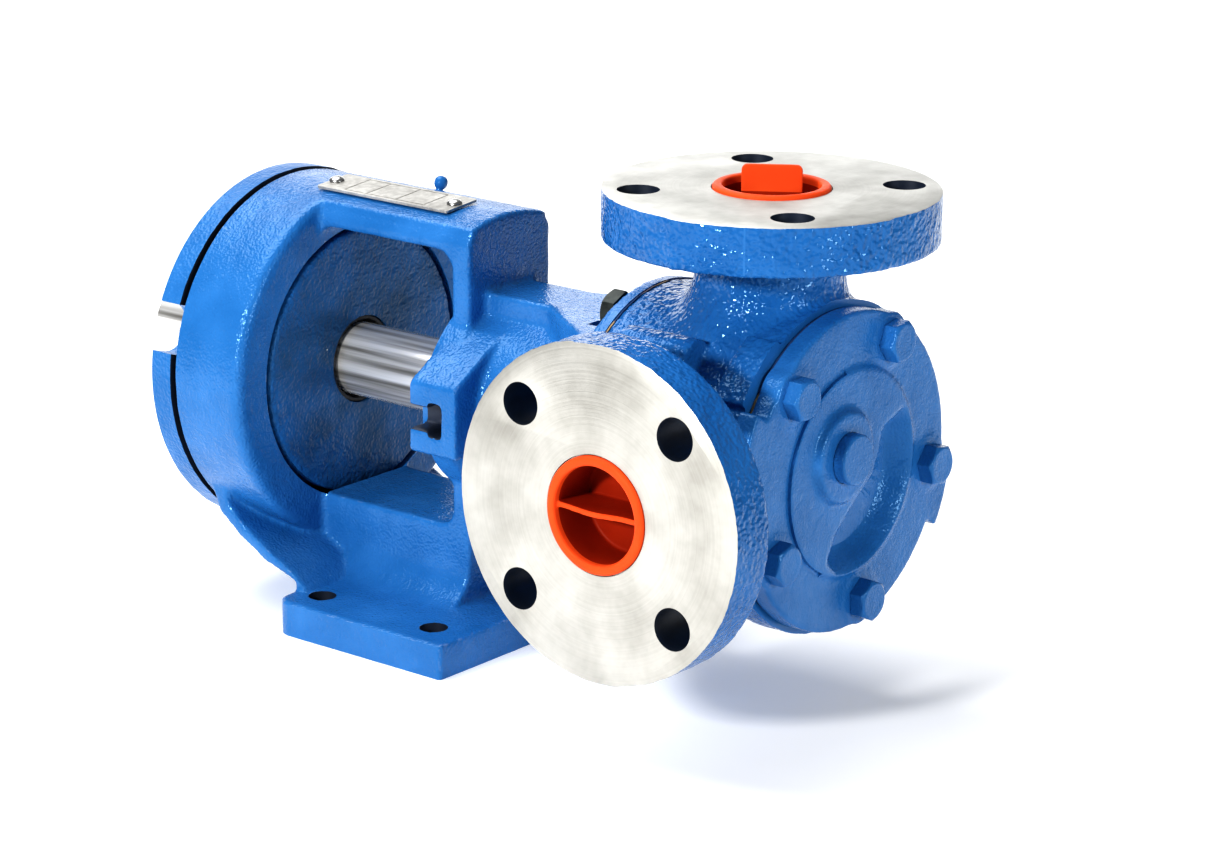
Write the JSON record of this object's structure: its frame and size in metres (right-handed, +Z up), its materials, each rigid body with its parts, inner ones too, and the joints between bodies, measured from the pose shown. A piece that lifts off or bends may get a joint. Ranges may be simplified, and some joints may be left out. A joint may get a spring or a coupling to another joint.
{
  "type": "internal gear pump",
  "caption": "Foot-mounted internal-gear pump with flanged ports at a right angle, open bracket window and adjustable bearing housing.",
  "frame": {"origin": "centre of the foot's underside, straight below the shaft axis", "axes": "+Z up, +Y along the shaft to its driven end, +X to the right seen from the pump cover; the side port faces -X and the top port +Z"},
  "size_m": [0.1771, 0.3765, 0.2054],
  "materials": {
    "blue_enamel": "glossy machine enamel over grey iron castings, orange peel and cast grain showing through",
    "machined_iron": "bare turned faces of the port flanges and bracket, fine concentric tool marks",
    "shaft_steel": "ground and polished steel",
    "plated_steel": "dull zinc plate",
    "bare_iron": "machined grey iron, oily",
    "bronze": "turned bearing bronze",
    "seal_carbon": "lapped carbon",
    "seal_rubber": "matt black nitrile rubber",
    "gasket_paper": "compressed fibre gasket sheet, tan",
    "plug_plastic": "soft moulded polyethylene, orange-red",
    "plate_metal": "blank satin metal plate, scuffed"
  },
  "bodies": {
    "frame": {"bracket": "blue_enamel", "casing": "blue_enamel", "cover": "blue_enamel", "cover_gasket": "gasket_paper", "cover_bolt_1": "blue_enamel", "cover_bolt_2": "blue_enamel", "cover_bolt_3": "blue_enamel", "cover_bolt_4": "blue_enamel", "cover_bolt_5": "blue_enamel", "idler_pin": "blue_enamel", "casing_gasket": "gasket_paper", "bracket_bolt_1": "plated_steel", "bracket_bolt_2": "plated_steel", "bracket_bolt_3": "plated_steel", "bracket_bolt_4": "plated_steel", "bracket_bushing": "bronze", "seal_seat": "seal_carbon", "seal_end_plate": "bare_iron", "nameplate": "plate_metal", "nameplate_rivet_1": "plate_metal", "nameplate_rivet_2": "plate_metal", "grease_fitting": "blue_enamel"},
    "drive_shaft": {"shaft": "shaft_steel", "shaft_key": "shaft_steel", "rotor": "bare_iron", "seal_rotary": "shaft_steel", "seal_spring": "shaft_steel", "seal_collar": "shaft_steel", "bearing_inner_race": "shaft_steel", "bearing_spacer": "shaft_steel", "lockwasher": "plated_steel", "locknut": "plated_steel"},
    "idler": {"idler_gear": "bare_iron", "idler_bushing": "bronze"},
    "ball_set": {"bearing_balls": "shaft_steel"},
    "bearing_carrier": {"bearing_housing": "blue_enamel", "bearing_outer_race": "shaft_steel", "inner_lip_seal": "seal_rubber", "outer_lip_seal": "seal_rubber", "end_cap": "blue_enamel", "housing_set_screw_1": "plated_steel", "housing_set_screw_2": "plated_steel"},
    "top_plug": {"top_port_plug": "plug_plastic"},
    "side_plug": {"side_port_plug": "plug_plastic"}
  },
  "joints": [
    {"name": "shaft_spin", "type": "hinge", "parent": "frame", "child": "drive_shaft", "pos_m": [0, 0, 0.09525], "axis": [0, 1, 0], "continuous": true},
    {"name": "idler_spin", "type": "hinge", "parent": "frame", "child": "idler", "pos_m": [-0.0082, -0.14525, 0.10345], "axis": [0, 1, 0], "continuous": true},
    {"name": "ball_set_spin", "type": "hinge", "parent": "frame", "child": "ball_set", "pos_m": [0, 0.08025, 0.09525], "axis": [0, 1, 0], "continuous": true},
    {"name": "housing_adjust", "type": "hinge", "parent": "frame", "child": "bearing_carrier", "pos_m": [0, 0.08025, 0.09525], "axis": [0, 1, 0], "range_deg": [-30, 30]},
    {"name": "top_plug_pull", "type": "slide", "parent": "frame", "child": "top_plug", "axis": [0, 0, 1], "range_m": [0, 0.03]},
    {"name": "side_plug_pull", "type": "slide", "parent": "frame", "child": "side_plug", "axis": [-1, 0, 0], "range_m": [0, 0.03]}
  ],
  "couplings": [
    {"joint": "idler_spin", "follows": "shaft_spin", "ratio": 1.5},
    {"joint": "ball_set_spin", "follows": "shaft_spin", "ratio": 0.3761}
  ]
}
